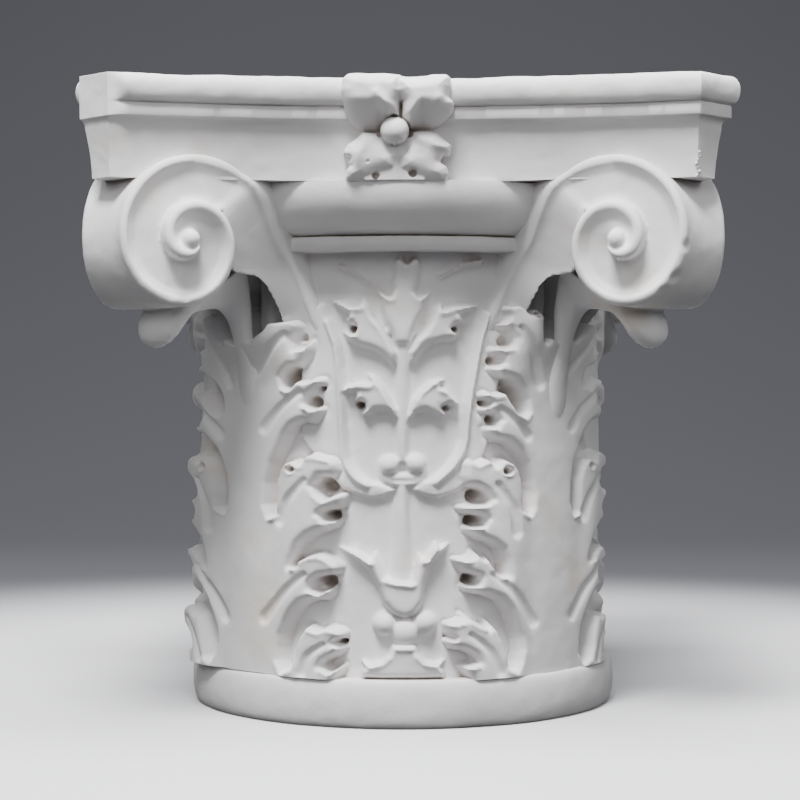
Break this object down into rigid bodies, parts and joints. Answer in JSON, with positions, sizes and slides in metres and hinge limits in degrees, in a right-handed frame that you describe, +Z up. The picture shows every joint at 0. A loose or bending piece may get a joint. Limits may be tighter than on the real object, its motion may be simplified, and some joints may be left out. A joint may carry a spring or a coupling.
{
  "type": "cast plaster column capital",
  "caption": "Cast plaster Renaissance column capital with corner volutes, acanthus leaves, a panel of foliage on each face and a hollow-sided abacus with rosettes.",
  "frame": {"origin": "centre of the underside of the ring moulding", "axes": "+Z up along the capital's vertical axis; the four faces look along +X, -X, +Y and -Y, with the chipped abacus corner at -X, -Y"},
  "size_m": [0.4563, 0.4563, 0.45],
  "materials": {
    "plaster": "matt"
  },
  "bodies": {
    "root": {"capital": "plaster"}
  },
  "joints": []
}
